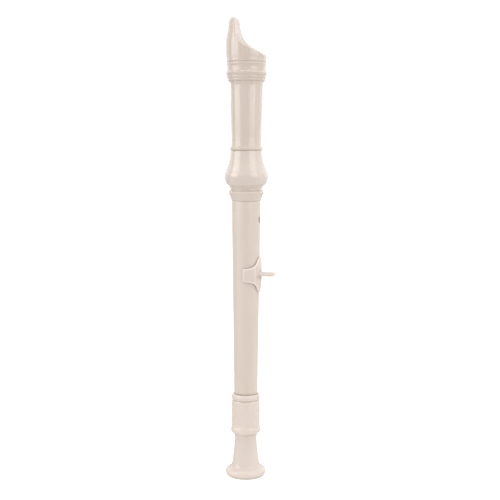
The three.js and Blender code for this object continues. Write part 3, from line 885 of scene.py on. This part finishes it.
def make_beak_shell():
    beak = moulded("beak_shell", beak_shell, low=(-15.2, -15.4, 298.1),
                   high=(15.2, 15.2, 331.0), cell=0.165)
    finish_piece(beak, "beak_shell", 40)


def make_windway_block():
    block = moulded("windway_block", windway_block, low=(-7.6, -9.9, 284.4),
                    high=(7.6, 7.6, 331.0), cell=0.13)
    finish_piece(block, "windway_block", 40)


# ---------------------------------------------------------------- thumb rest
REST_Z = 148.2
UNROLL_RADIUS = 10.7            # the leaf's outline is drawn unrolled at this radius
# upper half of one arm of the leaf: (degrees round from the back, half height)
ARM = [
    (0, 12.95), (3, 12.92), (13, 12.55), (19, 11.95), (23, 11.35), (26, 10.5), (30, 9.0),
    (34, 8.0), (38, 7.3), (43, 6.7), (50, 6.0), (58, 5.45), (68, 5.05), (78, 4.85),
    (86, 4.72), (89.5, 4.45), (91.4, 3.9), (92, 3.1)]
# outer (radius, height) of the leaf at the back
REST_OUTSIDE = [
    (10.12, 134.0), (10.34, 135.5), (10.5, 137.2), (10.72, 139.4), (11.02, 141.8),
    (11.25, 144.6), (11.35, 148.2), (11.4, 151.6), (11.28, 154.6), (11.08, 157.4),
    (10.9, 159.6), (10.75, 160.9), (10.6, 162.5)]
# the shelf standing out at the back: plan from SHELF_Y, half width, reach, corner radius
SHELF_Y, SHELF_HALF, SHELF_REACH, SHELF_CORNER = 10.0, 5.0, 11.2, 3.0
SHELF_RISE, SHELF_HALF_THICK = 0.15, 1.05


def leaf_outline():
    quarter = spline([(UNROLL_RADIUS * rad(degrees), half) for degrees, half in ARM], 0.4)
    side = quarter + [(s, -h) for s, h in reversed(quarter)]
    return side + [(-s, -h) for s, h in quarter[1:]] + [(-s, h) for s, h in quarter[:0:-1]]


LEAF_DISTANCE = DistanceTable(leaf_outline(), (-24.0, -16.0), (24.0, 16.0))


def thumb_rest(x, y, z):
    radius = np.sqrt(x * x + y * y)
    angle = np.arctan2(x, y)
    outline = LEAF_DISTANCE(UNROLL_RADIUS * angle, z - REST_Z)
    thinning = np.clip((np.abs(np.degrees(angle)) - 28) / 50, 0, 1) * 0.3
    outer = radius - (at(REST_OUTSIDE, z) - thinning)
    inner = (at(MIDDLE, z) + 0.26) - radius
    leaf = both(both(outer, outline, 0.55), inner, 0.12)
    u = np.abs(x) - (SHELF_HALF - SHELF_CORNER)
    v = (y - SHELF_Y) - (SHELF_REACH - SHELF_CORNER)
    plan = (np.sqrt(np.maximum(u, 0) ** 2 + np.maximum(v, 0) ** 2)
            + np.minimum(np.maximum(u, v), 0) - SHELF_CORNER)
    shelf = both(plan, np.abs(z - REST_Z - SHELF_RISE) - SHELF_HALF_THICK, 0.6)
    shelf = both(shelf, 10.3 - y, 0.1)
    shelf = np.maximum(shelf, 10.0 - radius)
    return either(leaf, shelf, 0.6)


def paint_rim_highlight(rest):
    """The rim attribute, the mask of a painted highlight: 1 on the rim of the leaf and its arms,
    0 elsewhere.
    """
    verts = np.array([vert.co[:] for vert in rest.data.vertices]) * 1000.0
    x, y, z = verts[:, 0], verts[:, 1] - AXIS_Y, verts[:, 2]
    radius = np.hypot(x, y)
    outline = LEAF_DISTANCE(UNROLL_RADIUS * np.arctan2(x, y), z - REST_Z)
    depth = radius - at(REST_OUTSIDE, z)
    rim = np.clip((outline + 1.25) / 0.4, 0, 1) * np.clip((depth + 1.2) / 0.4, 0, 1)
    rim = rim * (radius < 12.5)
    attribute = rest.data.attributes.new("rim", "FLOAT", "POINT")
    attribute.data.foreach_set("value", rim.astype(np.float32))


def make_thumb_rest():
    rest = moulded("thumb_rest", thumb_rest, low=(-12.4, -5.0, 133.8),
                   high=(12.4, 22.2, 162.6), cell=0.2)
    paint_rim_highlight(rest)
    finish_piece(rest, "thumb_rest", 40)


# ---------------------------------------------------------------- studio
FLOOR_HALF = 6.0
FLOOR_Z = -0.0146               # just under the foot joint's lowest reach when pulled out
TURN = rad(12.0)                # the camera stands on the +X side, turned towards the back
WARM = (1.0, 0.99, 0.98)


def floor_material():
    """Plain white to the lens, a soft bounce on to the instrument, dark in its gloss."""
    material = bpy.data.materials.new("floor_white")
    shader = Shader(material)
    diffuse = shader.node("BsdfDiffuse", {"Color": (0.56, 0.56, 0.56, 1)})
    rays = shader.node("LightPath").outputs
    seen = shader.math("MULTIPLY", rays["Is Camera Ray"], 0.75)
    place = shader.node("TexCoord").outputs["Object"]
    distance = shader.node("VectorMath", {0: place}, operation="LENGTH").outputs["Value"]
    # the bounce is stronger near the instrument
    bounce = shader.map_range(distance, source=(0.05, 0.30), target=(0.42, 0.14))
    bounce.interpolation_type = "SMOOTHSTEP"
    strength = shader.math("MULTIPLY_ADD", rays["Is Diffuse Ray"], bounce.outputs[0], seen)
    glow = shader.node("Emission", {"Color": (1.0, 0.985, 0.965, 1), "Strength": strength})
    total = shader.node("AddShader", {0: diffuse.outputs[0], 1: glow.outputs[0]})
    shader.node("OutputMaterial", {0: total.outputs[0]})
    return material


def make_floor():
    mesh = bpy.data.meshes.new("floor")
    corners = ((-1, -1), (1, -1), (1, 1), (-1, 1))
    mesh.from_pydata([(x * FLOOR_HALF, y * FLOOR_HALF, FLOOR_Z) for x, y in corners], [],
                     [(0, 1, 2, 3)])
    floor = bpy.data.objects.new("floor", mesh)
    bpy.context.scene.collection.objects.link(floor)
    mesh.materials.append(floor_material())


def around(angle, distance, z):
    """A place round the instrument, by degrees from the camera's side, + towards the back."""
    a = rad(angle) + TURN
    return (distance * math.cos(a), distance * math.sin(a), z)


def area(name, place, aim_z, size, power, colour=WARM, diffuse=True, glossy=True):
    """An area light aimed at height aim_z on the world's z axis.

    Without diffuse it only shows in the gloss; without glossy it never does.
    """
    light = bpy.data.lights.new(name, "AREA")
    light.shape = "RECTANGLE"
    light.size, light.size_y = size
    light.energy = power
    light.color = colour
    ob = bpy.data.objects.new(name, light)
    bpy.context.scene.collection.objects.link(ob)
    ob.location = place
    aim = Vector((0, 0, aim_z)) - Vector(place)
    ob.rotation_euler = aim.to_track_quat("-Z", "Y").to_euler()
    if not diffuse:
        ob.visible_diffuse = False
        ob.visible_transmission = False
        ob.visible_volume_scatter = False
    if not glossy:
        ob.visible_glossy = False


def make_lights():
    area("softbox_left", around(-71, 1.2, 0.72), aim_z=0.73, size=(1.0, 1.12), power=11.9,
         colour=(1.0, 0.995, 0.985), diffuse=False)
    area("softbox_right", around(46, 1.2, 0.72), aim_z=0.72, size=(1.0, 1.12), power=7.4,
         diffuse=False)
    area("key", around(-40, 0.85, 0.05), aim_z=0.07, size=(0.8, 0.5), power=1.95, glossy=False)
    area("fill", around(97, 1.3, 0.34), aim_z=0.22, size=(0.9, 0.9), power=5.5, glossy=False)
    area("edge_right", around(140, 1.2, 0.55), aim_z=0.55, size=(0.9, 1.3), power=1.95,
         diffuse=False)
    area("edge_left", around(-142, 1.2, 0.55), aim_z=0.55, size=(0.9, 1.3), power=2.2,
         diffuse=False)
    area("top", (0.1, 0.0, 1.3), aim_z=0.15, size=(1.0, 1.0), power=2.9, colour=(1, 1, 1))


def make_world():
    """White to the lens; as a light, brighter overhead than at the horizon."""
    world = bpy.data.worlds.new("studio")
    bpy.context.scene.world = world
    shader = Shader(world)
    is_camera = shader.node("LightPath").outputs["Is Camera Ray"]
    direction = shader.node("TexCoord").outputs["Generated"]
    height = shader.node("SeparateXYZ", {0: direction}).outputs["Z"]
    upward = shader.math("MAXIMUM", height, 0.0)
    horizon, overhead_gain = 0.62, 0.30
    strength = shader.math("MULTIPLY_ADD", upward, overhead_gain, horizon)
    lighting = shader.node("Background", {"Color": WHITE, "Strength": strength})
    backdrop = shader.node("Background", {"Color": WHITE, "Strength": 1.05})
    mixed = shader.node("MixShader", {0: is_camera, 1: lighting.outputs[0],
                                      2: backdrop.outputs[0]})
    shader.node("OutputWorld", {0: mixed.outputs[0]})


def make_camera():
    distance, sideways, height = 0.736, 0.0028, 0.237
    tilt_down, roll = 5.545, 0.14
    lens = bpy.data.cameras.new("camera")
    lens.sensor_width = 36.0
    lens.lens = 74.16
    lens.clip_start = 0.01
    camera = bpy.data.objects.new("camera", lens)
    scene = bpy.context.scene
    scene.collection.objects.link(camera)
    camera.location = (
        distance * math.cos(TURN) - sideways * math.sin(TURN),
        AXIS_Y * MM + distance * math.sin(TURN) + sideways * math.cos(TURN), height)
    camera.rotation_euler = (Matrix.Rotation(rad(90) + TURN, 3, "Z")
                             @ Matrix.Rotation(rad(90 - tilt_down), 3, "X")
                             @ Matrix.Rotation(rad(roll), 3, "Z")).to_euler()
    scene.camera = camera


make_foot_bell()
make_foot_sleeve()
make_foot_ring()
make_middle_joint()
make_socket_end_ring()
make_socket_bulb()
make_head_tube()
make_head_collar()
make_beak_shell()
make_windway_block()
make_thumb_rest()
make_floor()
make_lights()
make_world()
view = bpy.context.scene.view_settings
view.view_transform = "Standard"
view.look = "None"
make_camera()
